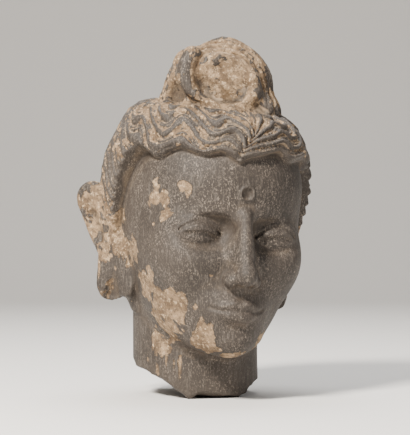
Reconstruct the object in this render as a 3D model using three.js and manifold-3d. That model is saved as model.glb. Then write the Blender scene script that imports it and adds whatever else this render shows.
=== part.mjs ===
// Head of a stone buddha, broken off through the neck.
// Millimetres, +Z up. The face looks along -Y and its right ear is on the -X side.
// The origin is the middle of the flat patch it rests on, under the neck's axis.
import * as THREE from 'three';
import { mergeVertices } from 'three/addons/utils/BufferGeometryUtils.js';
import Module from 'manifold-3d';

const DEG = Math.PI / 180;

// ---- pose of the head over the neck
const EYE_HEIGHT = 138;
const LEAN = 4 * DEG;
const NOD = 2 * DEG;
const PIVOT_HEIGHT = 50;
const NECK_RADIUS = 51.5;
const NECK_TOP = 105;
const HEAD_FORWARD = 10;

// ---- face, in the head's own frame: x to its left, y backward, z up from the eye line
const THIRD = 57;
const CHIN = -100;
const MOUTH = -62;
const NOSE_BASE = -43;
const BROW = 14;
const EYE = { x: 31.5, y: -63, z: -2, width: 18.5, height: 12, depth: 13 };
// half breadths, by proportion: the head is three quarters as broad as it is high, and the face five eyes
// broad at the cheekbones, where an eye is half a third; temples and jaw are shares of that
const SKULL = -0.75 * CHIN;
const CHEEKBONES = 1.25 * THIRD;
const TEMPLES = 0.85 * CHEEKBONES;
const JAW = 0.75 * CHEEKBONES;
const MARK = { z: 30, radius: 5.6, rise: 1.2 };

// ---- hair; angles are degrees round the middle of the scalp
const SCALP_CENTRE = { x: 0, y: 8, z: 18 };
const SCALP_RADIUS = 92;
const PARTING_FOOT = 20.8;
const PARTING_WIDTH = 4;
const FAN_REACH = 7;
const HAIRLINE_RISE = 5.4;
const LOCK_DEPTH = 4.6;
const LOCK_COUNT = 5.8;
const WAVE_LENGTH = 28;
const WAVE_CREST = 40;
const CROWN_LEVEL = 97;

// ---- topknot, wound in rings around its broken front
const KNOT = { x: 3.5, y: -6, z: 117 };
const KNOT_SIZE = [38.5, 42, 37.5];
const WORN_TURN = -18 * DEG;
const WORN_DEPTH = -34;
const RIM = { width: 25.5, height: 20.5, radius: 4.4 };
const RING_PITCH = 10.5;

// ---- ears
const EAR_TOP = 31;
const EAR_OUT = 79.2;
const EAR_BACK = 18;
const EAR_FLARE = 40 * DEG;
const EAR_THICKNESS = 9;
const EAR_SPAN = [0.5, 96];
const EAR_MIDDLE = -1;

// ---- break through the neck: it climbs towards both ends of a line turned from +X
const BREAK_TURN = -20 * DEG;
const BREAK_RIGHT = { start: 6, slope: 0.80 };
const BREAK_LEFT = { start: 36, slope: 0.85 };
const BREAK_ENDS = { start: 34, slope: 0.25 };

// ---- facets
const HEAD_FACETS = 6200;
const KNOT_FACETS = 1700;
const SHORTEST_EDGE = 2.2;
const LEAST_TURN = 2e-4;
const HEAD_MIDDLE = [0, 0, EYE_HEIGHT];
const EAR_ROWS = 23;
const EAR_COLUMNS = 9;

// ------------------------------------------------------------------ shape helpers
const clamp = (value, low, high) => Math.min(high, Math.max(low, value));

function smoothMin(a, b, k) {
  const h = clamp(0.5 + (0.5 * (b - a)) / k, 0, 1);
  return b + (a - b) * h - k * h * (1 - h);
}

const smoothMax = (a, b, k) => -smoothMin(-a, -b, k);

function smoothStep(from, to, value) {
  const t = clamp((value - from) / (to - from), 0, 1);
  return t * t * (3 - 2 * t);
}

function ellipsoid(x, y, z, centre, radii) {
  const qx = (x - centre[0]) / radii[0];
  const qy = (y - centre[1]) / radii[1];
  const qz = (z - centre[2]) / radii[2];
  const k0 = Math.hypot(qx, qy, qz) + 1e-6;
  const k1 = Math.hypot(qx / radii[0], qy / radii[1], qz / radii[2]) + 1e-9;
  return (k0 * (k0 - 1)) / k1;
}

function capsule(x, y, z, a, b, ra, rb) {
  const bx = b[0] - a[0];
  const by = b[1] - a[1];
  const bz = b[2] - a[2];
  const px = x - a[0];
  const py = y - a[1];
  const pz = z - a[2];
  const t = clamp((px * bx + py * by + pz * bz) / (bx * bx + by * by + bz * bz), 0, 1);
  return Math.hypot(px - t * bx, py - t * by, pz - t * bz) - (ra + (rb - ra) * t);
}

// Beads are [x, y, z, radius]; each is joined to the next.
function chain(x, y, z, beads) {
  let distance = Infinity;
  for (let i = 0; i + 1 < beads.length; i += 1) {
    const part = capsule(x, y, z, beads[i], beads[i + 1], beads[i][3], beads[i + 1][3]);
    distance = Math.min(distance, part);
  }
  return distance;
}

// Gentle lumps, -1 to 1.
function lumps(x, y, z, size, phase) {
  const k = 3.6 / size;
  const a = Math.sin(k * (x + 0.6 * y) + phase);
  const b = Math.sin(k * (y - 0.5 * z) + 2.1 * phase + 1.3);
  const c = Math.sin(k * (z + 0.7 * x) + 3.7 * phase + 2.6);
  return (a + b + c + a * b * c) / 4;
}

// A rounded strand: 0 at both edges, 1 along its middle.
function strand(count) {
  const t = 2 * (count - Math.floor(count)) - 1;
  return 1 - t * t;
}

// ------------------------------------------------------------------ face
function bareHead(a, y, z) {
  let d = ellipsoid(a, y, z, [0, 8, 18], [SKULL, 88, 84]);
  d = smoothMin(d, ellipsoid(a, y, z, [0, -26, -26], [JAW / Math.sqrt(0.75), 57, 72]), 20);
  d = smoothMin(d, capsule(a, y, z, [JAW - 19, 2, -50], [14, -54, CHIN + 21], 19, 18), 16);
  d = smoothMin(d, ellipsoid(a, y, z, [0, -69, CHIN + 15], [19, 17, 15]), 12);
  d = smoothMin(d, ellipsoid(a, y, z, [TEMPLES - 28, -50, NOSE_BASE / 2], [28, 28, 29]), 16);
  d = smoothMin(d, ellipsoid(a, y, z, [0, -34, 40], [TEMPLES, 50, 44]), 16);
  d = smoothMin(d, ellipsoid(a, y, z, [0, -65, MOUTH + 2], [THIRD / 2, 24, 24]), 12);
  const socket = smoothMin(ellipsoid(a, y, z, [31, -88.5, -1], [27, 20, 17]),
    ellipsoid(a, y, z, [15.5, -90, -1], [9.5, 15, 14]), 5);
  return smoothMax(d, -socket, 1.8 + 9 * (1 - smoothStep(-13, 2, z)));
}

function addNose(d, a, y, z) {
  let out = smoothMin(d, ellipsoid(a, y, z, [0, -82, -24], [10.5, 14, 22]), 7);
  out = smoothMin(out, capsule(a, y, z, [0, -85.5, BROW - 2], [0, -97.5, -30], 4.8, 6.2), 6);
  out = smoothMin(out, ellipsoid(a, y, z, [0, -98, NOSE_BASE + 8.5], [8.2, 9, 7.2]), 5);
  return smoothMin(out, ellipsoid(a, y, z, [9.6, -88.5, NOSE_BASE + 5], [5.2, 8.5, 5.6]), 4);
}

function addEye(d, a, y, z) {
  const ball = [EYE.width, EYE.depth, EYE.height];
  const lid = [EYE.width + 2, EYE.depth + 2.4, EYE.height + 2.4];
  const across = (a - EYE.x) / 17;
  const arch = clamp(1 - across * across, -0.8, 1);
  const upperEdge = EYE.z + 3.8 * arch - 3.2 + 1.2 * across;
  const lowerEdge = EYE.z - 2.8 * arch - 2.8 + 1.2 * across;
  const shell = ellipsoid(a, y, z, [EYE.x, EYE.y, EYE.z], lid);
  let out = smoothMin(d, ellipsoid(a, y, z, [EYE.x, EYE.y, EYE.z], ball), 4);
  out = smoothMin(out, smoothMax(shell, upperEdge - z, 1), 2);
  return smoothMin(out, smoothMax(shell + 0.8, z - lowerEdge, 1), 2.5);
}

function addMouth(d, a, y, z) {
  const upper = [[0, -88, MOUTH + 3.7, 3.8], [5, -88, MOUTH + 4.8, 4], [13, -84.5, MOUTH + 3, 3.2],
    [20, -79.5, MOUTH + 0.7, 1.4]];
  const lower = [[0, -87.5, MOUTH - 4.3, 4.8], [8, -86, MOUTH - 3.8, 4.4], [15, -82.5, MOUTH - 2, 3],
    [19, -79.5, MOUTH - 0.5, 1.4]];
  let out = smoothMin(d, chain(a, y, z, upper), 2.2);
  out = smoothMin(out, chain(a, y, z, lower), 2.2);
  return smoothMax(out, -ellipsoid(a, y, z, [0, -91, MOUTH - 13.5], [13, 5.5, 3.4]), 5);
}

function addMark(d, a, y, z) {
  if (y > 0) {
    return d;
  }
  const reach = Math.hypot(a, z - MARK.z);
  return d - MARK.rise * clamp((MARK.radius + 1.3 - reach) / 1.3, 0, 1);
}

// ------------------------------------------------------------------ hair
// Angles over the scalp in degrees: around from the parting, and up. The parting is an S.
function scalpAngles(x, y, z) {
  const up = Math.atan2(z - SCALP_CENTRE.z, Math.hypot(x - SCALP_CENTRE.x, y - SCALP_CENTRE.y)) / DEG;
  const sway = y < SCALP_CENTRE.y ? -8 + 15 * smoothStep(22, 38, up) - 4 * smoothStep(42, 55, up) : 0;
  const side = x - SCALP_CENTRE.x - sway;
  const around = Math.atan2(Math.abs(side), SCALP_CENTRE.y - y) / DEG;
  return { around, up, left: Math.sign(side) };
}

// Degrees that the locks swing up and down as they run back from the parting.
function lockWave(around, up, left) {
  const turn = (2 * Math.PI * (around - WAVE_CREST - 2 * left + 5 * Math.sin(up / 9 + left))) / WAVE_LENGTH;
  const swing = smoothStep(3, 20, around) * (1.7 + 1.5 * smoothStep(25, 42, up));
  return swing * (Math.cos(turn) + 0.12 * Math.sin(2 * turn));
}

// The locks fan out from the foot of the parting and are counted up from the hairline.
function hair(x, y, z) {
  const { around, up, left } = scalpAngles(x, y, z);
  const wave = lockWave(around, up, left);
  const fan = 1 - Math.exp(-(around + PARTING_WIDTH) / FAN_REACH);
  const spread = 1 + 0.55 * smoothStep(18, 44, around) + 0.25 * smoothStep(50, 85, around);
  const rise = around > 52 ? 0.85 * (Math.sqrt((around - 52) ** 2 + 150) - 12.2) : 0;
  const height = (up - PARTING_FOOT - rise - wave) / (fan * spread) - 4;
  const lock = LOCK_COUNT * (height > 0 ? Math.log1p(height / 24) : height / 24);
  const fringe = PARTING_FOOT + HAIRLINE_RISE * (1 - Math.exp(-around / FAN_REACH));
  const temple = 70 * smoothStep(66, 98, around);
  const edge = up - fringe + temple - wave * (1 - smoothStep(66, 80, around));
  let d = ellipsoid(x, y, z, [-1, 8, 33], [83, 86, 93]);
  d = smoothMin(d, ellipsoid(x, y, z, [0, -30, 42], [62, 57, 50]), 16);
  d = smoothMax(d, z - CROWN_LEVEL - 0.11 * y, 14);
  d -= LOCK_DEPTH * strand(lock) + 1.2 * lumps(x, y, z, 34, 5);
  d += 2.2 * Math.exp(-((around / 2.2) ** 2));
  return smoothMax(d, -0.8 * edge * SCALP_RADIUS * DEG, 3);
}

// ------------------------------------------------------------------ topknot
// px, py and pz are square on to the broken front: across, into the knot, up.
function topknot(x, y, z) {
  const px = (x - KNOT.x) * Math.cos(WORN_TURN) + y * Math.sin(WORN_TURN);
  const py = y * Math.cos(WORN_TURN) - (x - KNOT.x) * Math.sin(WORN_TURN);
  const pz = z - KNOT.z + 0.5;
  let d = ellipsoid(px, py, pz, [0, 0, 0], KNOT_SIZE);
  d = smoothMin(d, ellipsoid(px, py, pz, [-25, 0, 5], [17, 28, 24]), 6);
  d = smoothMin(d, ellipsoid(px, py, pz, [-30, 4, -16], [17, 28, 20]), 6);
  d = smoothMin(d, ellipsoid(x, y, z, [KNOT.x, 0, 98], [48, 50, 22]), 10);
  const side = Math.hypot(px / KNOT_SIZE[0], pz / KNOT_SIZE[2]);
  const off = Math.atan2(side, -py / KNOT_SIZE[1]) / DEG;
  const clock = Math.atan2(px, pz) / DEG;
  const ring = (off - 36) / RING_PITCH + clock / 300 + 0.5 * lumps(x, y, z, 42, 1);
  d -= 2.6 * strand(ring) + 2.4 * lumps(x, y, z, 19, 2) - 1;
  // two clefts over the top and a hollow behind the curl
  d = smoothMax(d, -capsule(px, py, pz, [-8, -40, 20], [-13, -16, 42], 3.6, 4.6), 2);
  d = smoothMax(d, -capsule(px, py, pz, [33, -34, 19], [41, 0, 26], 2.4, 4), 2);
  d = smoothMax(d, -ellipsoid(px, py, pz, [-39, -27, -7], [9.5, 14, 14]), 3);
  // broken front, and the worn roll around it, open at the bottom
  d = smoothMax(d, WORN_DEPTH - py - 0.12 * pz + 1.8 * lumps(x, y, z, 11, 1), 1.5);
  const reach = Math.hypot(px / RIM.width, pz / RIM.height) + 1e-6;
  const out = Math.hypot(px, pz) * (1 - 1 / reach);
  const swell = 1.2 * Math.cos((3 * clock + 40) * DEG) + 1.2 * lumps(x, y, z, 13, 4);
  const rim = Math.hypot(out, py - WORN_DEPTH - 1.5) - RIM.radius - swell;
  d = smoothMin(d, smoothMax(rim, -(pz + 20), 4), 3);
  const curl = [[-27, -31, 22, 7.4], [-31, -33, 14, 7.4], [-32, -35, 4, 6.4], [-27, -37, -6, 5.2],
    [-18, -39, -13, 4], [-6, -40, -18, 3]];
  d = smoothMin(d, chain(px, py, pz, curl), 3);
  return smoothMin(d, ellipsoid(x, y, z, [KNOT.x, 0, 86], [50, 52, 20]), 4);
}

// ------------------------------------------------------------------ ears
// Along the ear: u away from the head, v down from its top, w out of its face.
function earFrame(v) {
  return { x: EAR_OUT - 0.1 * v, y: EAR_BACK - 0.1 * v, z: EAR_TOP - v };
}

function earPoint(u, v, w) {
  const base = earFrame(v);
  return [
    base.x + u * Math.sin(EAR_FLARE) + w * Math.cos(EAR_FLARE),
    base.y + u * Math.cos(EAR_FLARE) - w * Math.sin(EAR_FLARE),
    base.z,
  ];
}

function earSolid(u, v, w) {
  const leaf = chain(u, v, 0, [[19, 16, 0, 16], [11, 40, 0, 13.5], [5, 57, 0, 11.5], [5.5, 70, 0, 11.5],
    [7, 84, 0, 12.5]]);
  const root = capsule(u, v, 0, [-8, 22, 0], [-9, 84, 0], 16, 8);
  let d = smoothMin(leaf, root, 4);
  d = smoothMax(d, Math.abs(w - EAR_MIDDLE) - EAR_THICKNESS / 2, 4);
  d = smoothMin(d, ellipsoid(u, v, w, [-9, 36, EAR_MIDDLE], [13, 27, 9]), 3);
  const inner = [[22, 14, 6.5, 4.2], [19, 26, 5, 5.6], [11, 46, 5, 5], [5, 60, 5.5, 2.4]];
  d = smoothMax(d, -chain(u, v, w, inner), 1.5);
  d = smoothMax(d, -capsule(u, v, w, [9, 12, 6], [6, 30, 5.5], 4, 4.4), 1.5);
  return smoothMax(d, -capsule(u, v, w, [0, 66, 6.5], [4, 92, 4], 1.6, 8), 1.2);
}

// ------------------------------------------------------------------ the whole
function toHead(X, Y, Z) {
  const over = Z - PIVOT_HEIGHT;
  const x = X * Math.cos(LEAN) - over * Math.sin(LEAN);
  const up = X * Math.sin(LEAN) + over * Math.cos(LEAN);
  const y = Y * Math.cos(NOD) + up * Math.sin(NOD);
  const z = up * Math.cos(NOD) - Y * Math.sin(NOD);
  return [x, y + HEAD_FORWARD, z + PIVOT_HEIGHT - EYE_HEIGHT];
}

function fromHead(x, y, z) {
  const forward = y - HEAD_FORWARD;
  const height = z + EYE_HEIGHT - PIVOT_HEIGHT;
  const Y = forward * Math.cos(NOD) - height * Math.sin(NOD);
  const up = height * Math.cos(NOD) + forward * Math.sin(NOD);
  return [x * Math.cos(LEAN) + up * Math.sin(LEAN), Y, up * Math.cos(LEAN) - x * Math.sin(LEAN) + PIVOT_HEIGHT];
}

function breakHeight(X, Y, Z) {
  const across = X * Math.cos(BREAK_TURN) + Y * Math.sin(BREAK_TURN);
  const along = Y * Math.cos(BREAK_TURN) - X * Math.sin(BREAK_TURN);
  const right = Math.max(0, -BREAK_RIGHT.start - across);
  const left = Math.max(0, across - BREAK_LEFT.start);
  const ends = Math.max(0, Math.abs(along) - BREAK_ENDS.start);
  const height = BREAK_RIGHT.slope * right - 0.004 * right * right
    + BREAK_LEFT.slope * left + BREAK_ENDS.slope * ends;
  return height > 0 ? height + Math.min(1, height / 4) * 2 * lumps(X, Y, Z, 17, 3) : -6;
}

function headSolid(X, Y, Z) {
  const [x, y, z] = toHead(X, Y, Z);
  const a = Math.abs(x);
  let d = bareHead(a, y, z);
  d = addNose(d, a, y, z);
  d = addEye(d, a, y, z);
  d = addMouth(d, a, y, z);
  d = addMark(d, a, y, z);
  const neck = Math.hypot(X, Y / 1.02) - NECK_RADIUS - 0.02 * Math.max(0, 30 - Z);
  d = smoothMin(d, smoothMax(neck, Z - NECK_TOP, 10), 9);
  d = smoothMin(d, hair(x, y, z), 1.2);
  // stone left between each lobe and the jaw
  d = smoothMin(d, capsule(a, y, z, [66, 16, -14], [50, 8, -66], 15, 9), 6);
  return smoothMax(d, breakHeight(X, Y, Z) - Z, 1);
}

// ------------------------------------------------------------------ facets
const add = (p, q, k) => [p[0] + q[0] * k, p[1] + q[1] * k, p[2] + q[2] * k];
const minus = (p, q) => [p[0] - q[0], p[1] - q[1], p[2] - q[2]];
const span = (p, q) => Math.hypot(p[0] - q[0], p[1] - q[1], p[2] - q[2]);

// Outermost place along a ray where the solid begins.
function castInward(solid, origin, direction, reach) {
  const value = (t) => solid(...add(origin, direction, t));
  let outer = reach;
  let inner = reach;
  let clearance = value(inner);
  while (inner > 0 && clearance > 0) {
    outer = inner;
    inner -= Math.max(1.2, clearance / 2);
    clearance = value(inner);
  }
  for (let i = 0; i < 12; i += 1) {
    const middle = (outer + inner) / 2;
    if (value(middle) > 0) {
      outer = middle;
    } else {
      inner = middle;
    }
  }
  return add(origin, direction, inner);
}

// Closes rows of points, lowest first, into a solid with one point at each end.
function closedGrid(rows, bottom, top) {
  const width = rows[0].length;
  const points = [bottom, ...rows.flat(), top];
  const at = (row, column) => 1 + row * width + (column % width);
  const last = points.length - 1;
  const faces = [];
  for (let j = 0; j < width; j += 1) {
    faces.push([0, at(0, j + 1), at(0, j)]);
    faces.push([last, at(rows.length - 1, j), at(rows.length - 1, j + 1)]);
    for (let i = 0; i + 1 < rows.length; i += 1) {
      faces.push([at(i, j), at(i, j + 1), at(i + 1, j + 1)]);
      faces.push([at(i, j), at(i + 1, j + 1), at(i + 1, j)]);
    }
  }
  return { points, faces };
}

// Even rows and columns of facets seen from a middle point.
function roundGrid(place, middle, rows, columns) {
  const at = (elevation, turn) => {
    const flat = Math.cos(elevation);
    return place(add(middle, [Math.sin(turn) * flat, -Math.cos(turn) * flat, Math.sin(elevation)], 1));
  };
  const grid = [];
  for (let i = 1; i < rows; i += 1) {
    const row = [];
    for (let j = 0; j < columns; j += 1) {
      row.push(at((i / rows - 0.5) * Math.PI, (2 * Math.PI * j) / columns));
    }
    grid.push(row);
  }
  return closedGrid(grid, at(-Math.PI / 2, 0), at(Math.PI / 2, 0));
}

// Facets are spent on the front first; the back is plainer.
const care = (point) => 1 - 0.5 * smoothStep(0, 70, point[1]);

const edgeName = (i, j) => (i < j ? `${i}-${j}` : `${j}-${i}`);

// Splits the edges that stray most from the solid until the facets are used up.
function refine({ points, faces }, place, budget) {
  const strays = new Map();
  const measure = (i, j) => {
    const name = edgeName(i, j);
    if (!strays.has(name)) {
      const length = span(points[i], points[j]);
      const edge = { i, j, length, off: 0, onSolid: null };
      for (const share of [0.5, 0.32, 0.68]) {
        const chord = add(points[i], minus(points[j], points[i]), share);
        const onSolid = place(chord);
        const off = length < SHORTEST_EDGE ? 0 : span(chord, onSolid) * Math.sqrt(length) * care(chord);
        if (off > edge.off || !edge.onSolid) {
          Object.assign(edge, { off, onSolid });
        }
      }
      strays.set(name, edge);
    }
    return strays.get(name);
  };
  while (faces.length < budget) {
    const owners = new Map();
    faces.forEach((face, index) => {
      for (let k = 0; k < 3; k += 1) {
        const edge = measure(face[k], face[(k + 1) % 3]);
        owners.set(edge, [...(owners.get(edge) ?? []), index]);
      }
    });
    const edges = [...owners.keys()].sort((p, q) => q.off - p.off).slice(0, Math.ceil(owners.size * 0.08));
    const touched = new Set();
    const free = (edge) => owners.get(edge).every((index) => !touched.has(index));
    for (const worst of edges) {
      if (!free(worst) || faces.length >= budget) {
        continue;
      }
      const longest = owners.get(worst)
        .flatMap((index) => [0, 1, 2].map((k) => measure(faces[index][k], faces[index][(k + 1) % 3])))
        .reduce((p, q) => (q.length > p.length ? q : p));
      const edge = longest.length > 1.35 * worst.length ? longest : worst;
      const pair = owners.get(edge);
      if (!free(edge)) {
        continue;
      }
      points.push(edge.onSolid);
      for (const index of pair) {
        touched.add(index);
        const face = faces[index];
        const k = [0, 1, 2].find((n) => edgeName(face[n], face[(n + 1) % 3]) === edgeName(edge.i, edge.j));
        const [from, to, apex] = [face[k], face[(k + 1) % 3], face[(k + 2) % 3]];
        faces[index] = [from, points.length - 1, apex];
        faces.push([points.length - 1, to, apex]);
        touched.add(faces.length - 1);
      }
    }
  }
  return { points, faces };
}

// Turns edges over where the other diagonal lies closer to the solid.
function settle({ points, faces }, place, middle) {
  const stray = (i, j) => {
    const centre = add(points[i], minus(points[j], points[i]), 0.5);
    return span(centre, place(centre));
  };
  const facesOut = ([i, j, k]) => {
    const [p, q, r] = [i, j, k].map((n) => minus(points[n], middle));
    const volume = p[0] * (q[1] * r[2] - q[2] * r[1]) + p[1] * (q[2] * r[0] - q[0] * r[2])
      + p[2] * (q[0] * r[1] - q[1] * r[0]);
    return volume > LEAST_TURN * Math.hypot(...p) * Math.hypot(...q) * Math.hypot(...r);
  };
  const owners = new Map();
  faces.forEach((face, index) => {
    for (let k = 0; k < 3; k += 1) {
      const name = edgeName(face[k], face[(k + 1) % 3]);
      owners.set(name, [...(owners.get(name) ?? []), index]);
    }
  });
  const touched = new Set();
  for (const [name, pair] of [...owners]) {
    if (pair.some((index) => touched.has(index))) {
      continue;
    }
    const [one, two] = pair.map((index) => faces[index]);
    const [i, j] = name.split('-').map(Number);
    const [from, to] = one[(one.indexOf(i) + 1) % 3] === j ? [i, j] : [j, i];
    const apex = one.find((n) => n !== i && n !== j);
    const other = two.find((n) => n !== i && n !== j);
    const turned = [[apex, other, to], [other, apex, from]];
    if (owners.has(edgeName(apex, other)) || !turned.every(facesOut)) {
      continue;
    }
    if (stray(apex, other) + 0.05 < stray(i, j)) {
      pair.forEach((index, k) => {
        faces[index] = turned[k];
        touched.add(index);
      });
      owners.set(edgeName(apex, other), []);
    }
  }
  return { points, faces };
}

function roundFacets(solid, middle, reach, rows, columns, budget) {
  const place = (point) => {
    const ray = minus(point, middle);
    const length = Math.hypot(...ray);
    return castInward(solid, middle, ray.map((value) => value / length), reach);
  };
  let mesh = refine(roundGrid(place, middle, rows, columns), place, budget);
  for (let pass = 0; pass < 3; pass += 1) {
    mesh = settle(mesh, place, middle);
  }
  return mesh;
}

// A flat leaf: for each row the two edges are found first, then its face and its back.
function earFacets(side) {
  const rows = [];
  for (let i = 0; i < EAR_ROWS; i += 1) {
    const share = (i + 0.5) / EAR_ROWS;
    const v = EAR_SPAN[0] + (EAR_SPAN[1] - EAR_SPAN[0]) * (0.5 + 0.5 * Math.cos(Math.PI * share));
    const inside = 9 + 8 * smoothStep(60, 12, v);
    const back = castInward(earSolid, [inside, v, EAR_MIDDLE], [1, 0, 0], 40)[0];
    const front = castInward(earSolid, [inside, v, EAR_MIDDLE], [-1, 0, 0], 40)[0];
    const across = (k) => (front + back) / 2 + ((back - front) / 2) * Math.cos((Math.PI * k) / EAR_COLUMNS);
    const row = [[back, v, EAR_MIDDLE]];
    for (let k = 1; k < EAR_COLUMNS; k += 1) {
      row.push(castInward(earSolid, [across(k), v, EAR_MIDDLE], [0, 0, 1], 14));
    }
    row.push([front, v, EAR_MIDDLE]);
    for (let k = EAR_COLUMNS - 1; k > 0; k -= 3) {
      row.push(castInward(earSolid, [across(k), v, EAR_MIDDLE], [0, 0, -1], 14));
    }
    rows.push(row);
  }
  const bottom = castInward(earSolid, [10, 80, EAR_MIDDLE], [0, 1, 0], 40);
  const top = castInward(earSolid, [20, 20, EAR_MIDDLE], [0, -1, 0], 40);
  const { points, faces } = closedGrid(rows, bottom, top);
  return {
    points: points.map(([u, v, w]) => {
      const [x, y, z] = earPoint(u, v, w);
      return fromHead(side * x, y, z);
    }),
    faces: side < 0 ? faces : faces.map(([i, j, k]) => [i, k, j]),
  };
}

// ------------------------------------------------------------------ joining
const wasm = await Module();
wasm.setup();

function toManifold({ points, faces }) {
  const mesh = new wasm.Mesh({
    numProp: 3,
    vertProperties: new Float32Array(points.flat()),
    triVerts: new Uint32Array(faces.flat()),
  });
  return new wasm.Manifold(mesh);
}

function toManifoldBox(width, height) {
  const box = new THREE.BoxGeometry(width, width, height);
  box.deleteAttribute('normal');
  box.deleteAttribute('uv');
  box.translate(0, 0, -height / 2);
  const merged = mergeVertices(box);
  const mesh = new wasm.Mesh({
    numProp: 3,
    vertProperties: new Float32Array(merged.attributes.position.array),
    triVerts: new Uint32Array(merged.index.array),
  });
  return new wasm.Manifold(mesh);
}

function toGeometry(manifold) {
  const mesh = manifold.getMesh();
  const geometry = new THREE.BufferGeometry();
  const positions = new Float32Array(mesh.numVert * 3);
  for (let i = 0; i < mesh.numVert; i += 1) {
    for (let k = 0; k < 3; k += 1) {
      positions[i * 3 + k] = mesh.vertProperties[i * mesh.numProp + k];
    }
  }
  geometry.setAttribute('position', new THREE.BufferAttribute(positions, 3));
  geometry.setIndex(new THREE.BufferAttribute(new Uint32Array(mesh.triVerts), 1));
  geometry.computeVertexNormals();
  return geometry;
}

const knotSolid = (X, Y, Z) => topknot(...toHead(X, Y, Z));
const knotMiddle = fromHead(KNOT.x + 2, KNOT.y - 4, KNOT.z - 2);
const head = toManifold(roundFacets(headSolid, HEAD_MIDDLE, 190, 26, 30, HEAD_FACETS))
  .add(toManifold(roundFacets(knotSolid, knotMiddle, 90, 12, 18, KNOT_FACETS)))
  .add(toManifold(earFacets(-1)))
  .add(toManifold(earFacets(1)))
  .subtract(toManifoldBox(400, 60));

const group = new THREE.Group();
const stone = new THREE.MeshStandardMaterial({ name: 'schist', color: 0x5a5148, roughness: 0.85, metalness: 0 });
const buddhaHead = new THREE.Mesh(toGeometry(head), stone);
buddhaHead.name = 'buddha_head';
group.add(buddhaHead);

export default group;
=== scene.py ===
"""Head of a stone buddha, broken off through the neck: the looks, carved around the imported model."""
import math

import bpy
import numpy as np
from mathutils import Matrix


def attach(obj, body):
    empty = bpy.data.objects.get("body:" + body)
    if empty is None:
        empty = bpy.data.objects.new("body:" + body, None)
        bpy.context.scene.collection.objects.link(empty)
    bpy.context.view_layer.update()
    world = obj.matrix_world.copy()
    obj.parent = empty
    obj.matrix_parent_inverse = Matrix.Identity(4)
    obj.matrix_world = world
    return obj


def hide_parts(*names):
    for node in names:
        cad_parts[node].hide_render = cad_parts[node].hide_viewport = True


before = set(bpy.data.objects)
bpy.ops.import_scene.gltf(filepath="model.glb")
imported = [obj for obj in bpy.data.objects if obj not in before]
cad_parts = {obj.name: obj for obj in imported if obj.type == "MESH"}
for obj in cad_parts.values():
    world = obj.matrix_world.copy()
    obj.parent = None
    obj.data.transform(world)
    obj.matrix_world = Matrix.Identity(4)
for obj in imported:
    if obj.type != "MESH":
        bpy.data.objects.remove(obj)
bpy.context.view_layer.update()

import openvdb
from mathutils import Vector

F = np.float32
VOXEL = 1.0     # millimetres between samples of the carving
MOST_TRIANGLES = 194000

# ------------------------------------------------------------------ sizes, in millimetres
# pose of the head over the neck
EYE_HEIGHT = 138.0
LEAN = math.radians(4)
NOD = math.radians(2)
PIVOT_HEIGHT = 50.0
NECK_RADIUS = 51.5
NECK_TOP = 105.0
HEAD_FORWARD = 10.0

# face, in the head's own frame: x to its left, y backward, z up from the eye line
THIRD = 57.0
CHIN = -100.0
MOUTH = -62.0
NOSE_BASE = -43.0
BROW = 14.0
EYE = (31.5, -63.0, -2.0)
EYEBALL = (18.5, 13.0, 12.0)
LID = (20.5, 15.4, 14.4)
# half breadths, by proportion: the head is three quarters as broad as it is high, and the face five eyes
# broad at the cheekbones, where an eye is half a third; temples and jaw are shares of that
SKULL = -0.75 * CHIN
CHEEKBONES = 1.25 * THIRD
TEMPLES = 0.85 * CHEEKBONES
JAW = 0.75 * CHEEKBONES
MARK_Z = 30.0
MARK_RADIUS = 5.6

# hair; angles in degrees round the scalp's middle
SCALP_CENTRE = (0.0, 8.0, 18.0)
SCALP_RADIUS = 92.0
PARTING_FOOT = 20.8
PARTING_WIDTH = 4.0
FAN_REACH = 7.0
HAIRLINE_RISE = 5.4
LOCK_DEPTH = 4.6
LOCK_COUNT = 5.8
WAVE_LENGTH = 28.0
WAVE_CREST = 40.0
CROWN_LEVEL = 97.0
STRANDS = ((0.0, 0.62, 1.0), (0.62, 0.81, 0.75), (0.81, 1.0, 0.55))

# topknot
KNOT = (3.5, -6.0, 117.0)
KNOT_SIZE = (38.5, 42.0, 37.5)
WORN_TURN = math.radians(-18)
WORN_DEPTH = -34.0
RIM = (25.5, 20.5)
RIM_RADIUS = 4.4
RING_PITCH = 10.5

# ears
EAR_TOP = 31.0
EAR_OUT = 79.2
EAR_BACK = 18.0
EAR_FLARE = math.radians(40)
EAR_THICKNESS = 9.0

# break
BREAK_TURN = math.radians(-20)


# ------------------------------------------------------------------ shape helpers
def smooth_min(a, b, k):
    h = np.clip(0.5 + 0.5 * (b - a) / k, 0, 1)
    return b + (a - b) * h - k * h * (1 - h)


def smooth_max(a, b, k):
    return -smooth_min(-a, -b, k)


def smooth_step(low, high, value):
    t = np.clip((value - low) / (high - low), 0, 1)
    return t * t * (3 - 2 * t)


def ellipsoid(x, y, z, c, r):
    qx, qy, qz = (x - c[0]) / r[0], (y - c[1]) / r[1], (z - c[2]) / r[2]
    k0 = np.sqrt(qx * qx + qy * qy + qz * qz) + 1e-6
    gx, gy, gz = qx / r[0], qy / r[1], qz / r[2]
    return k0 * (k0 - 1) / (np.sqrt(gx * gx + gy * gy + gz * gz) + 1e-9)


def capsule(x, y, z, a, b, ra, rb):
    bx, by, bz = b[0] - a[0], b[1] - a[1], b[2] - a[2]
    px, py, pz = x - a[0], y - a[1], z - a[2]
    t = np.clip((px * bx + py * by + pz * bz) / (bx * bx + by * by + bz * bz), 0, 1)
    dx, dy, dz = px - t * bx, py - t * by, pz - t * bz
    return np.sqrt(dx * dx + dy * dy + dz * dz) - (ra + (rb - ra) * t)


def chain(x, y, z, beads):
    """Beads are (x, y, z, radius); each is joined to the next."""
    out = None
    for a, b in zip(beads[:-1], beads[1:]):
        part = capsule(x, y, z, a, b, a[3], b[3])
        out = part if out is None else np.minimum(out, part)
    return out


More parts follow.
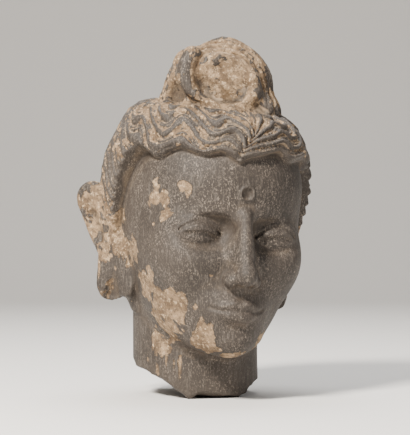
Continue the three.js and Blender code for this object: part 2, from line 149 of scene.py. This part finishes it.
def lumps(x, y, z, size, phase):
    """Gentle lumps, -1 to 1."""
    k = 3.6 / size
    a = np.sin(k * (x + 0.6 * y) + phase)
    b = np.sin(k * (y - 0.5 * z) + 2.1 * phase + 1.3)
    c = np.sin(k * (z + 0.7 * x) + 3.7 * phase + 2.6)
    return (a + b + c + a * b * c) / 4


def lock_section(count):
    """Height across one lock, 0 to 1: a broad rounded band beside two thin strands."""
    f = count - np.floor(count)
    height = 0
    for low, high, top in STRANDS:
        g = (2 * f - low - high) / (high - low)
        height = np.maximum(height, top * np.sqrt(np.clip(1 - g * g, 0, 1)))
    floor = smooth_step(0, 0.12, f) * smooth_step(0, 0.12, 1 - f)
    return np.maximum(height, 0.42 * floor)


# ------------------------------------------------------------------ face
def bare_head(a, y, z):
    d = ellipsoid(a, y, z, (0, 8, 18), (SKULL, 88, 84))
    d = smooth_min(d, ellipsoid(a, y, z, (0, -26, -26), (JAW / math.sqrt(0.75), 57, 72)), 20)
    d = smooth_min(d, capsule(a, y, z, (JAW - 19, 2, -50), (14, -54, CHIN + 21), 19, 18), 16)
    d = smooth_min(d, ellipsoid(a, y, z, (0, -69, CHIN + 15), (19, 17, 15)), 12)
    d = smooth_min(d, ellipsoid(a, y, z, (TEMPLES - 28, -50, NOSE_BASE / 2), (28, 28, 29)), 16)
    d = smooth_min(d, ellipsoid(a, y, z, (0, -34, 40), (TEMPLES, 50, 44)), 16)
    d = smooth_min(d, ellipsoid(a, y, z, (0, -65, MOUTH + 2), (THIRD / 2, 24, 24)), 12)
    socket = smooth_min(ellipsoid(a, y, z, (31, -88.5, -1), (27, 20, 17)),
                        ellipsoid(a, y, z, (15.5, -90, -1), (9.5, 15, 14)), 5)
    return smooth_max(d, -socket, 1.8 + 9 * (1 - smooth_step(-13, 2, z)))


def add_nose(d, a, y, z):
    d = smooth_min(d, ellipsoid(a, y, z, (0, -82, -24), (10.5, 14, 22)), 7)
    d = smooth_min(d, capsule(a, y, z, (0, -85.5, BROW - 2), (0, -97.5, -30), 4.8, 6.2), 6)
    d = smooth_min(d, ellipsoid(a, y, z, (0, -98, NOSE_BASE + 8.5), (8.2, 9, 7.2)), 5)
    d = smooth_min(d, ellipsoid(a, y, z, (9.6, -88.5, NOSE_BASE + 5), (5.2, 8.5, 5.6)), 4)
    d = smooth_max(d, -ellipsoid(a, y, z, (5.4, -93.5, NOSE_BASE - 2), (3, 5, 4)), 2)
    return smooth_max(d, -capsule(a, y, z, (0, -92, -46), (0, -92, -53), 2, 2.6), 3)


def add_eye(d, a, y, z):
    across = (a - EYE[0]) / 17
    arch = np.clip(1 - across * across, -0.8, 1)
    upper = EYE[2] + 3.8 * arch - 3.2 + 1.2 * across
    lower = EYE[2] - 2.8 * arch - 2.8 + 1.2 * across
    crease = EYE[2] + 8.4 * arch - 0.6 + 1.2 * across
    lid = ellipsoid(a, y, z, EYE, LID)
    d = smooth_min(d, ellipsoid(a, y, z, EYE, EYEBALL), 4)
    d = smooth_min(d, smooth_max(lid, upper - z, 1), 2)
    d = smooth_min(d, smooth_max(lid + 0.8, z - lower, 1), 2.5)
    groove = np.sqrt((z - crease) ** 2 + lid ** 2) - 1.5
    return smooth_max(d, -np.maximum(groove, np.abs(across) * 17 - 17.5), 1.2)


def add_mouth(d, a, y, z):
    upper = ((0, -88, MOUTH + 3.7, 3.8), (5, -88, MOUTH + 4.8, 4), (13, -84.5, MOUTH + 3, 3.2),
             (20, -79.5, MOUTH + 0.7, 1.4))
    lower = ((0, -87.5, MOUTH - 4.3, 4.8), (8, -86, MOUTH - 3.8, 4.4), (15, -82.5, MOUTH - 2, 3),
             (19, -79.5, MOUTH - 0.5, 1.4))
    line = ((0, -93.5, MOUTH, 1.2), (4, -93, MOUTH + 0.5, 1.2), (11, -89.5, MOUTH - 0.2, 1.2),
            (17, -85.5, MOUTH - 0.2, 1.3), (22.5, -81, MOUTH + 1.2, 1.6))
    d = smooth_min(d, chain(a, y, z, upper), 2.2)
    d = smooth_min(d, chain(a, y, z, lower), 2.2)
    d = smooth_max(d, -chain(a, y, z, line), 1.5)
    return smooth_max(d, -ellipsoid(a, y, z, (0, -91, MOUTH - 13.5), (13, 5.5, 3.4)), 5)


def add_mark(d, a, y, z):
    reach = np.hypot(a, z - MARK_Z)
    ring = smooth_step(0, 1, 1 - np.abs(reach - MARK_RADIUS) / 1.6)
    dot = smooth_step(0, 1, (MARK_RADIUS - reach) / 3)
    return d - np.where(y < 0, 1.7 * ring - 0.9 * dot, 0)


# ------------------------------------------------------------------ hair
def scalp_angles(x, y, z):
    """Degrees round from the parting and up, and the side. The parting is an S."""
    rx, ry = x - SCALP_CENTRE[0], y - SCALP_CENTRE[1]
    up = np.degrees(np.arctan2(z - SCALP_CENTRE[2], np.hypot(rx, ry)))
    sway = -8 + 15 * smooth_step(22, 38, up) - 4 * smooth_step(42, 55, up)
    side = rx - np.where(ry < 0, sway, 0)
    return np.degrees(np.arctan2(np.abs(side), -ry)), up, np.sign(side)


def lock_wave(around, up, side):
    """Degrees that the locks swing up and down as they run back from the parting."""
    turn = 2 * np.pi * (around - WAVE_CREST - 2 * side + 5 * np.sin(up / 9 + side)) / WAVE_LENGTH
    swing = smooth_step(3, 20, around) * (1.8 + 1.9 * smooth_step(25, 42, up))
    return swing * (np.cos(turn) + 0.10 * np.sin(2 * turn) + 0.3 * np.sin(0.37 * turn + up / 6))


def hair_lines(x, y, z):
    """Lock number, and height over the hairline in millimetres. Locks fan out from the parting's foot."""
    around, up, side = scalp_angles(x, y, z)
    wave = lock_wave(around, up, side)
    fan = 1 - np.exp(-(around + PARTING_WIDTH) / FAN_REACH)
    spread = 1 + 0.55 * smooth_step(18, 44, around) + 0.25 * smooth_step(50, 85, around)
    rise = np.where(around > 52, 0.85 * (np.sqrt((around - 52) ** 2 + 150) - 12.2), 0)
    height = (up - PARTING_FOOT - rise - wave) / (fan * spread) - 4
    lock = LOCK_COUNT * np.where(height > 0, np.log1p(np.maximum(height, 0) / 24), height / 24)
    fringe = PARTING_FOOT + HAIRLINE_RISE * (1 - np.exp(-around / FAN_REACH))
    temple = 70 * smooth_step(66, 98, around)
    edge = up - fringe + temple - wave * (1 - smooth_step(66, 80, around))
    return lock, edge * math.radians(SCALP_RADIUS), around


def hair(x, y, z):
    lock, edge, around = hair_lines(x, y, z)
    d = ellipsoid(x, y, z, (-1, 8, 33), (83, 86, 93))
    d = smooth_min(d, ellipsoid(x, y, z, (0, -30, 42), (62, 57, 50)), 16)
    d = smooth_max(d, z - CROWN_LEVEL - 0.11 * y, 14)
    d = d - LOCK_DEPTH * lock_section(lock) + 2.2 * np.exp(-(around / 2.2) ** 2) - 1.2 * lumps(x, y, z, 34, 5)
    return smooth_max(d, -0.8 * edge, 3)


# ------------------------------------------------------------------ topknot
def knot_frame(x, y, z):
    """Square on to the broken front: across, into, up."""
    c, s = math.cos(WORN_TURN), math.sin(WORN_TURN)
    return (x - KNOT[0]) * c + y * s, y * c - (x - KNOT[0]) * s, z - KNOT[2] + 0.5


def topknot(x, y, z):
    px, py, pz = knot_frame(x, y, z)
    d = ellipsoid(px, py, pz, (0, 0, 0), KNOT_SIZE)
    d = smooth_min(d, ellipsoid(px, py, pz, (-25, 0, 5), (17, 28, 24)), 6)
    d = smooth_min(d, ellipsoid(px, py, pz, (-30, 4, -16), (17, 28, 20)), 6)
    d = smooth_min(d, ellipsoid(x, y, z, (KNOT[0], 0, 98), (48, 50, 22)), 10)
    qx, qy, qz = px / KNOT_SIZE[0], py / KNOT_SIZE[1], pz / KNOT_SIZE[2]
    off = np.degrees(np.arctan2(np.hypot(qx, qz), -qy))
    clock = np.degrees(np.arctan2(px, pz))
    ring = (off - 36) / RING_PITCH + clock / 300 + 0.5 * lumps(x, y, z, 42, 1)
    d = d - 4 * lock_section(ring) - 2.4 * lumps(x, y, z, 19, 2) + 1.6
    d = smooth_max(d, -capsule(px, py, pz, (-8, -40, 20), (-13, -16, 42), 3.6, 4.6), 2)
    d = smooth_max(d, -capsule(px, py, pz, (33, -34, 19), (41, 0, 26), 2.4, 4), 2)
    d = smooth_max(d, -ellipsoid(px, py, pz, (-39, -27, -7), (9.5, 14, 14)), 3)
    worn = WORN_DEPTH - py - 0.12 * pz + 1.8 * lumps(x, y, z, 11, 1) + 0.8 * lumps(x, y, z, 5, 6)
    d = smooth_max(d, worn, 1.5)
    reach = np.hypot(px / RIM[0], pz / RIM[1]) + 1e-6
    out = np.hypot(px, pz) * (1 - 1 / reach)
    swell = 1.2 * np.cos(np.radians(3 * clock + 40)) + 1.2 * lumps(x, y, z, 13, 4)
    rim = np.hypot(out, py - WORN_DEPTH - 1.5) - RIM_RADIUS - swell
    d = smooth_min(d, smooth_max(rim, -(pz + 20), 4), 3)
    curl = ((-27, -31, 22, 7.4), (-31, -33, 14, 7.4), (-32, -35, 4, 6.4), (-27, -37, -6, 5.2),
            (-18, -39, -13, 4), (-6, -40, -18, 3))
    slit = ((-17, -33, 26, 1), (-21.5, -38, 18, 1.8), (-23, -41, 8, 1.8), (-20, -43, -1, 1))
    d = smooth_min(d, chain(px, py, pz, curl), 3)
    d = smooth_max(d, -chain(px, py, pz, slit), 2)
    for drop in (0, 7):
        d = smooth_max(d, -capsule(px, py, pz, (-32, -38, -12 - drop), (-8, -45, -22 - drop), 1.6, 2.2), 1.5)
    foot = ellipsoid(x, y, z, (KNOT[0], 0, 86), (50, 52, 20))
    return smooth_min(d, foot, 4)


# ------------------------------------------------------------------ ears
def ear_frame(x, y, z):
    """Along the ear: u away from the head, v down from its top, w out of its face."""
    v = EAR_TOP - z
    px, py = np.abs(x) - (EAR_OUT - 0.1 * v), y - (EAR_BACK - 0.1 * v)
    s, c = math.sin(EAR_FLARE), math.cos(EAR_FLARE)
    return px * s + py * c, v, px * c - py * s


def ear(x, y, z):
    u, v, w = ear_frame(x, y, z)
    flat = np.zeros_like(u)
    leaf = chain(u, v, flat, ((19, 16, 0, 16), (11, 40, 0, 13.5), (5, 57, 0, 11.5), (5.5, 70, 0, 11.5),
                              (7, 84, 0, 12.5)))
    root = capsule(u, v, flat, (-8, 22, 0), (-9, 84, 0), 16, 8)
    d = smooth_min(leaf, root, 4)
    d = smooth_max(d, np.abs(w + 1) - EAR_THICKNESS / 2, 4)
    d = smooth_min(d, ellipsoid(u, v, w, (-9, 36, -1), (13, 27, 9)), 3)
    web = capsule(np.abs(x), y, z, (66, 16, -14), (50, 8, -66), 15, 9)
    inner = ((22, 14, 6.5, 4.2), (19, 26, 5, 5.6), (11, 46, 5, 5), (5, 60, 5.5, 2.4))
    d = smooth_max(d, -chain(u, v, w, inner), 1.5)
    d = smooth_max(d, -capsule(u, v, w, (9, 12, 6), (6, 30, 5.5), 4, 4.4), 1.5)
    d = smooth_max(d, -capsule(u, v, w, (0, 66, 6.5), (4, 92, 4), 1.6, 8), 1.2)
    return smooth_min(d, web, 6)


# ------------------------------------------------------------------ the whole
def to_head(X, Y, Z):
    over = Z - PIVOT_HEIGHT
    x = X * math.cos(LEAN) - over * math.sin(LEAN)
    up = X * math.sin(LEAN) + over * math.cos(LEAN)
    y = Y * math.cos(NOD) + up * math.sin(NOD)
    z = up * math.cos(NOD) - Y * math.sin(NOD)
    return x, y + HEAD_FORWARD, z + PIVOT_HEIGHT - EYE_HEIGHT


def break_height(X, Y, Z):
    across = X * math.cos(BREAK_TURN) + Y * math.sin(BREAK_TURN)
    along = Y * math.cos(BREAK_TURN) - X * math.sin(BREAK_TURN)
    right = np.maximum(0, -6 - across)
    left = np.maximum(0, across - 36)
    ends = np.maximum(0, np.abs(along) - 34)
    height = 0.80 * right - 0.004 * right * right + 0.85 * left + 0.25 * ends
    rough = 2.4 * lumps(X, Y, Z, 17, 3) + 1.3 * lumps(X, Y, Z, 7, 4)
    return height + np.clip(height / 4, 0, 1) * rough


def carving(X, Y, Z):
    x, y, z = to_head(X, Y, Z)
    a = np.abs(x)
    d = bare_head(a, y, z)
    d = add_nose(d, a, y, z)
    d = add_eye(d, a, y, z)
    d = add_mouth(d, a, y, z)
    d = add_mark(d, a, y, z)
    neck = np.hypot(X, Y / 1.02) - NECK_RADIUS - 0.02 * np.maximum(0, 30 - Z)
    d = smooth_min(d, smooth_max(neck, Z - NECK_TOP, 10), 9)
    d = smooth_min(d, hair(x, y, z), 1.2)
    d = smooth_min(d, topknot(x, y, z), 2)
    d = smooth_min(d, ear(x, y, z), 2.5)
    return smooth_max(d, break_height(X, Y, Z) - Z, 0.8)


# ------------------------------------------------------------------ from carving to mesh
def skin(field, low, high, step, block=8):
    """Points and quads of the field's zero surface; blocks far from it are skipped."""
    low = np.array(low, float)
    count = np.ceil((np.array(high) - low) / (step * block)).astype(int)
    size = step * block
    middles = np.meshgrid(*(low[i] + (np.arange(count[i]) + 0.5) * size for i in range(3)), indexing="ij")
    coarse = field(*(m.astype(F) for m in middles))
    near = np.argwhere(np.abs(coarse) < size * 1.17 + 4)
    dense = np.where(coarse < 0, F(-3), F(3))
    for axis in range(3):
        dense = dense.repeat(block, axis)
    dense = np.pad(dense, ((0, 1),) * 3, constant_values=3)
    offsets = np.stack(np.meshgrid(*(np.arange(block + 1),) * 3, indexing="ij"), -1).reshape(-1, 3)
    for start in range(0, len(near), 700):
        index = (near[start:start + 700, None, :] * block + offsets).reshape(-1, 3)
        place = (low + index * step).astype(F)
        dense[tuple(index.T)] = field(place[:, 0], place[:, 1], place[:, 2])
    grid = openvdb.FloatGrid(3.0)
    grid.copyFromArray(np.clip(dense, -3, 3))
    points, quads = grid.convertToQuads(0.0)
    return points * step + low, quads[:, ::-1]


def normals_of(field, points, reach=0.6):
    """Unit slope of the field at each point."""
    out = np.zeros_like(points)
    for axis in range(3):
        step = np.zeros(3)
        step[axis] = reach
        ahead, behind = (points + step).astype(F), (points - step).astype(F)
        out[:, axis] = field(*ahead.T) - field(*behind.T)
    return out / (np.linalg.norm(out, axis=1, keepdims=True) + 1e-9)


points, quads = skin(carving, (-115, -125, -8), (118, 100, 300), VOXEL)
mesh = bpy.data.meshes.new("buddha_head_carving")
mesh.from_pydata((points / 1000).tolist(), [], quads.tolist())
mesh.update()
mesh.polygons.foreach_set("use_smooth", np.ones(len(mesh.polygons), bool))
head = bpy.data.objects.new("buddha_head_carving", mesh)
bpy.context.scene.collection.objects.link(head)

triangles = 2 * len(quads)
if triangles > MOST_TRIANGLES:
    thin = head.modifiers.new("thin", "DECIMATE")
    thin.ratio = MOST_TRIANGLES / triangles
    depsgraph = bpy.context.evaluated_depsgraph_get()
    thinner = bpy.data.meshes.new_from_object(head.evaluated_get(depsgraph))
    head.modifiers.clear()
    head.data = thinner
    mesh = thinner
print("triangles", sum(len(p.vertices) - 2 for p in mesh.polygons))

place = np.empty(3 * len(mesh.vertices), F)
mesh.vertices.foreach_get("co", place)
place = place.reshape(-1, 3).astype(float) * 1000
outward = normals_of(carving, place)


# ------------------------------------------------------------------ wear: noise, crust, chips
def value_noise(points, size, seed):
    """Smooth noise from -1 to 1 with lumps of the given size in millimetres."""
    q = points / size + seed * 17.31
    base = np.floor(q).astype(np.int64)
    f = q - base
    f = f * f * (3 - 2 * f)
    total = 0
    for corner in np.ndindex(2, 2, 2):
        cell = (base + corner).astype(np.uint64)
        mixed = cell[:, 0] * 73856093 ^ cell[:, 1] * 19349663 ^ cell[:, 2] * 83492791 ^ np.uint64(seed * 2654435)
        mixed = (mixed ^ (mixed >> 13)) * 1274126177 & 0xFFFFFFFF
        mixed = (mixed ^ (mixed >> 16)) * 2246822519 & 0xFFFFFFFF
        weight = np.prod(np.where(corner, f, 1 - f), axis=1)
        total = total + weight * (mixed / 0xFFFFFFFF * 2 - 1)
    return total


def layered_noise(points, size, seed, layers=4):
    total = 0
    for layer in range(layers):
        total = total + value_noise(points, size / 2 ** layer, seed + layer) / 2 ** layer
    return total / 1.4


def blobs(points, spots):
    """1 in the middle of any spot (x, y, z, radius), 0 at its radius and beyond."""
    out = np.zeros(len(points))
    for spot in spots:
        near = np.linalg.norm(points - spot[:3], axis=1) / spot[3]
        out = np.maximum(out, 1 - smooth_step(0, 1, near))
    return out


def hollowness(count=14):
    """How far each point lies below its neighbours, in millimetres, after smoothing."""
    ends = np.empty(2 * len(mesh.edges), np.int32)
    mesh.edges.foreach_get("vertices", ends)
    one, two = ends.reshape(-1, 2).T
    many = np.bincount(ends, minlength=len(place))

    def spread(values):
        return (np.bincount(one, values[two], len(place)) + np.bincount(two, values[one], len(place))) / many

    middle = place
    for _ in range(count):
        middle = np.stack([spread(middle[:, k]) for k in range(3)], 1)
    return np.einsum("ij,ij->i", middle - place, outward)


local = np.stack(to_head(*place.T), 1)
x, y, z = local.T
hollow = hollowness()
lock, edge, _ = hair_lines(x, y, z)
in_hair = smooth_step(-1, 3, edge) * (carving(*place.T) < 9) * (place[:, 2] > 60)
in_hair = in_hair * smooth_step(-6, 0, hair(x, y, z) * -1 + 2)
on_knot = smooth_step(84, 92, z) * smooth_step(52, 44, np.hypot(x - KNOT[0], y))
on_ear = smooth_step(3, 0, ear(x, y, z)) * smooth_step(70, 76, np.abs(x))
break_face = smooth_step(3.5, 0.5, place[:, 2] - break_height(*place.T))

# where the pale crust lies, in the head's frame
CRUST_SPOTS = ((-46, -48, -66, 44), (-58, -30, -44, 34), (-24, -74, -88, 30), (2, -76, -96, 22),
               (-46, -30, -100, 40), (-62, -48, 24, 20), (-44, -66, 32, 15), (-56, -58, 8, 14), (-38, -72, -26, 9),
               (30, -66, -84, 18), (-72, -6, -24, 34), (-78, 8, 0, 26))
heavy = blobs(local, CRUST_SPOTS)
patchy = layered_noise(place, 20, 3)
broken_up = layered_noise(place, 9, 11)
speckled = value_noise(place, 2.4, 15)
ridge = np.clip(-hollow, 0, 1)
crust = 1.0 * heavy + 0.34 * patchy + 0.5 * broken_up + 0.2 * speckled - 0.52
toward_back = smooth_step(10, 70, y)
hair_crust = 0.40 * smooth_step(50, 88, z) + 0.36 * smooth_step(0, 66, -x) + 0.25 * toward_back - 0.36
hair_crust = hair_crust + 0.45 * patchy + 0.45 * broken_up + 0.3 * speckled - 0.5 * ridge
crust = np.maximum(crust, np.where(in_hair > 0.3, hair_crust, -1))
crust = np.maximum(crust, np.where(on_knot > 0.3, 0.24 + 0.4 * patchy + 0.4 * broken_up + 0.3 * speckled, -1))
crust = np.maximum(crust, np.where(on_ear > 0.3, 0.16 + 0.5 * patchy + 0.4 * broken_up + 0.3 * speckled, -1))
crust = np.maximum(crust, 0.24 * toward_back + 0.45 * patchy + 0.4 * broken_up + 0.2 * speckled - 0.40)
crust = smooth_step(0.0, 0.2, crust)

grain = layered_noise(place, 4.5, 21)
pits = smooth_step(0.42, 0.8, layered_noise(place, 7, 31))
rough_knot = on_knot * smooth_step(-24, -31, knot_frame(x, y, z)[1])
relief = 0.10 * grain - 0.3 * pits * (0.35 + 0.65 * crust) + 0.45 * crust * (0.6 + 0.5 * patchy)
relief = relief + 1.1 * rough_knot * layered_noise(place, 8, 41) + 1.1 * break_face * layered_noise(place, 11, 51)
relief = relief + 0.35 * in_hair * layered_noise(place, 9, 61) + 0.3 * on_ear * layered_noise(place, 10, 71)
relief = np.where(place[:, 2] < 0.4, 0, relief)
moved = place + outward * relief[:, None]
moved[:, 2] = np.maximum(moved[:, 2], 0)
mesh.vertices.foreach_set("co", (moved / 1000).astype(F).ravel())
mesh.update()


def put(name, values):
    attribute = mesh.attributes.new(name, "FLOAT", "POINT")
    attribute.data.foreach_set("value", np.asarray(values, F))


put("crust", crust)
put("hollow", np.clip(hollow / 2.2, -1, 1))
put("hair", np.clip(in_hair + on_knot, 0, 1))
put("broken", break_face)


# ------------------------------------------------------------------ stone
class Nodes:
    """Short ways to add and join shader nodes."""

    def __init__(self, material):
        material.use_nodes = True
        self.tree = material.node_tree
        self.shader = self.tree.nodes["Principled BSDF"]
        self.place = self.tree.nodes.new("ShaderNodeTexCoord").outputs["Object"]

    def join(self, value, socket):
        if isinstance(value, (int, float)):
            socket.default_value = value
        elif isinstance(value, tuple):
            socket.default_value = (*value, 1)
        else:
            self.tree.links.new(value, socket)

    def read(self, name):
        node = self.tree.nodes.new("ShaderNodeAttribute")
        node.attribute_name = name
        return node.outputs["Fac"]

    def sums(self, operation, a, b=0.0, c=0.0):
        node = self.tree.nodes.new("ShaderNodeMath")
        node.operation = operation
        for value, socket in zip((a, b, c), node.inputs):
            self.join(value, socket)
        return node.outputs[0]

    def noise(self, scale, detail=4.0, stretch=None, roughness=0.55):
        node = self.tree.nodes.new("ShaderNodeTexNoise")
        node.inputs["Scale"].default_value = scale
        node.inputs["Detail"].default_value = detail
        node.inputs["Roughness"].default_value = roughness
        where = self.place
        if stretch:
            mapping = self.tree.nodes.new("ShaderNodeMapping")
            mapping.inputs["Scale"].default_value = stretch
            self.tree.links.new(self.place, mapping.inputs["Vector"])
            where = mapping.outputs[0]
        self.tree.links.new(where, node.inputs["Vector"])
        return node.outputs["Fac"]

    def between(self, value, low, high):
        node = self.tree.nodes.new("ShaderNodeMapRange")
        node.interpolation_type = "SMOOTHSTEP"
        node.inputs["From Min"].default_value = low
        node.inputs["From Max"].default_value = high
        self.join(value, node.inputs["Value"])
        return node.outputs[0]

    def mix(self, share, a, b):
        node = self.tree.nodes.new("ShaderNodeMix")
        node.data_type = "RGBA"
        self.join(share, node.inputs["Factor"])
        self.join(a, node.inputs[6])
        self.join(b, node.inputs[7])
        return node.outputs[2]

    def bump(self, height, strength, distance, normal=None):
        node = self.tree.nodes.new("ShaderNodeBump")
        node.inputs["Strength"].default_value = strength
        node.inputs["Distance"].default_value = distance
        self.tree.links.new(height, node.inputs["Height"])
        if normal is not None:
            self.tree.links.new(normal, node.inputs["Normal"])
        return node.outputs[0]


def build_stone():
    """Dark grey schist with pale mica flecks, under patches of buff crust."""
    stone = bpy.data.materials.new("schist")
    n = Nodes(stone)
    cloud = n.noise(22, 5)
    grain = n.noise(420, 3, roughness=0.7)
    flecks = n.between(n.noise(900, 2, (1.0, 1.0, 0.6), 0.8), 0.52, 0.66)
    streaks = n.between(n.noise(600, 3, (1.0, 1.0, 0.14), 0.7), 0.50, 0.68)
    crust, hollow, on_hair, broken = n.read("crust"), n.read("hollow"), n.read("hair"), n.read("broken")

    dark = n.mix(n.between(cloud, 0.35, 0.68), (0.019, 0.0150, 0.0122), (0.038, 0.0300, 0.0243))
    dark = n.mix(n.sums("MULTIPLY", grain, 0.5), dark, (0.058, 0.046, 0.037))
    dusted = n.between(n.noise(60, 4), 0.38, 0.66)
    flecked = n.sums("MULTIPLY", flecks, n.sums("MULTIPLY_ADD", dusted, 0.42, 0.16))
    dark = n.mix(flecked, dark, (0.30, 0.245, 0.195))
    dark = n.mix(n.sums("MULTIPLY", streaks, 0.22), dark, (0.22, 0.19, 0.16))

    buff = n.mix(n.between(n.noise(95, 5), 0.36, 0.66), (0.125, 0.080, 0.045), (0.30, 0.205, 0.120))
    buff = n.mix(n.between(n.noise(300, 4, roughness=0.8), 0.52, 0.64), buff, (0.46, 0.34, 0.215))
    stained = n.between(n.noise(270, 5, roughness=0.85), 0.49, 0.60)
    buff = n.mix(n.sums("MULTIPLY", stained, 0.78), buff, (0.075, 0.052, 0.034))

    groove = n.sums("MULTIPLY", n.between(hollow, 0.02, 0.30), n.between(n.noise(140, 4), 0.30, 0.62))
    ragged = n.sums("ADD", crust, n.sums("MULTIPLY_ADD", n.noise(210, 4, roughness=0.7), 1.3, -0.65))
    cover = n.between(ragged, 0.38, 0.62)
    light_groove = n.sums("MULTIPLY", groove, n.sums("MULTIPLY_ADD", on_hair, 0.75, 0.08))
    colour = n.mix(light_groove, dark, (0.36, 0.26, 0.165))
    colour = n.mix(cover, colour, buff)
    # painted shade: the deepest hollows are darkened towards near black, standing in for the shadow that falls in
    # them
    painted_hollow_shade = n.sums("MULTIPLY", n.between(hollow, 0.22, 0.8), 0.75)
    colour = n.mix(painted_hollow_shade, colour, (0.028, 0.021, 0.016))
    colour = n.mix(n.sums("MULTIPLY", broken, 0.35), colour, (0.085, 0.068, 0.054))
    n.tree.links.new(colour, n.shader.inputs["Base Color"])

    rough = n.sums("MULTIPLY_ADD", cover, 0.22, n.sums("MULTIPLY_ADD", grain, 0.25, 0.52))
    n.tree.links.new(rough, n.shader.inputs["Roughness"])
    fine = n.bump(grain, 0.5, 0.0006)
    coarse = n.bump(n.noise(150, 5, roughness=0.7), 0.6, 0.0013, fine)
    crumb = n.bump(n.sums("MULTIPLY", cover, n.noise(230, 4, roughness=0.75)), 0.9, 0.0014, coarse)
    n.tree.links.new(crumb, n.shader.inputs["Normal"])
    n.shader.inputs["Specular IOR Level"].default_value = 0.35
    return stone


mesh.materials.clear()
mesh.materials.append(build_stone())
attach(head, "root")
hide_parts("buddha_head")

# ------------------------------------------------------------------ floor, light and camera
def plain(name, colour, roughness=0.9):
    material = bpy.data.materials.new(name)
    material.use_nodes = True
    shader = material.node_tree.nodes["Principled BSDF"]
    shader.inputs["Base Color"].default_value = (*colour, 1)
    shader.inputs["Roughness"].default_value = roughness
    return material


def build_stage():
    """Floor that curves up into a backdrop behind the head."""
    width, front, back, bend, height = 6.0, -3.0, 1.6, 0.9, 3.6
    profile = [(front, 0.0), (back, 0.0)]
    for i in range(1, 13):
        t = math.radians(90 * i / 12)
        profile.append((back + bend * math.sin(t), bend * (1 - math.cos(t))))
    profile.append((back + bend, height))
    corners = [(x, y, z) for y, z in profile for x in (-width / 2, width / 2)]
    faces = [(2 * i, 2 * i + 1, 2 * i + 3, 2 * i + 2) for i in range(len(profile) - 1)]
    shape = bpy.data.meshes.new("floor")
    shape.from_pydata(corners, [], faces)
    shape.polygons.foreach_set("use_smooth", np.ones(len(faces), bool))
    floor = bpy.data.objects.new("floor", shape)
    floor.data.materials.append(plain("pale_floor", (0.78, 0.76, 0.73)))
    floor.rotation_euler = (0, 0, math.radians(-20))
    bpy.context.scene.collection.objects.link(floor)


def area_light(name, place, target, size, power, colour=(1, 1, 1)):
    light = bpy.data.lights.new(name, "AREA")
    light.energy, light.size, light.color = power, size, colour
    lamp = bpy.data.objects.new(name, light)
    lamp.location = place
    lamp.rotation_mode = "QUATERNION"
    lamp.rotation_quaternion = (Vector(target) - Vector(place)).to_track_quat("-Z", "Y")
    bpy.context.scene.collection.objects.link(lamp)


def build_camera():
    turn = math.radians(-20)
    aim = Vector((math.cos(turn) * 0.0083, math.sin(turn) * 0.0083, 0.1458))
    away = Vector((math.sin(turn), -math.cos(turn), 0.0))
    lens = bpy.data.cameras.new("camera")
    lens.sensor_width = 36
    lens.lens = 36 * 1.5 / 0.3615
    camera = bpy.data.objects.new("camera", lens)
    camera.location = aim + away * 1.5
    camera.rotation_mode = "QUATERNION"
    camera.rotation_quaternion = (-away).to_track_quat("-Z", "Y")
    bpy.context.scene.collection.objects.link(camera)
    bpy.context.scene.camera = camera


build_stage()
area_light("key", (-0.95, -0.75, 1.15), (0, 0, 0.16), 0.30, 78, (1.0, 0.94, 0.86))
area_light("fill", (1.2, -1.3, 0.7), (0, 0, 0.14), 1.4, 7, (0.95, 0.96, 1.0))
area_light("top", (0.2, 0.4, 1.4), (0, 0, 0.2), 0.9, 20)
world = bpy.data.worlds.new("studio")
world.use_nodes = True
world.node_tree.nodes["Background"].inputs["Color"].default_value = (0.85, 0.85, 0.86, 1)
world.node_tree.nodes["Background"].inputs["Strength"].default_value = 0.27
bpy.context.scene.world = world
build_camera()
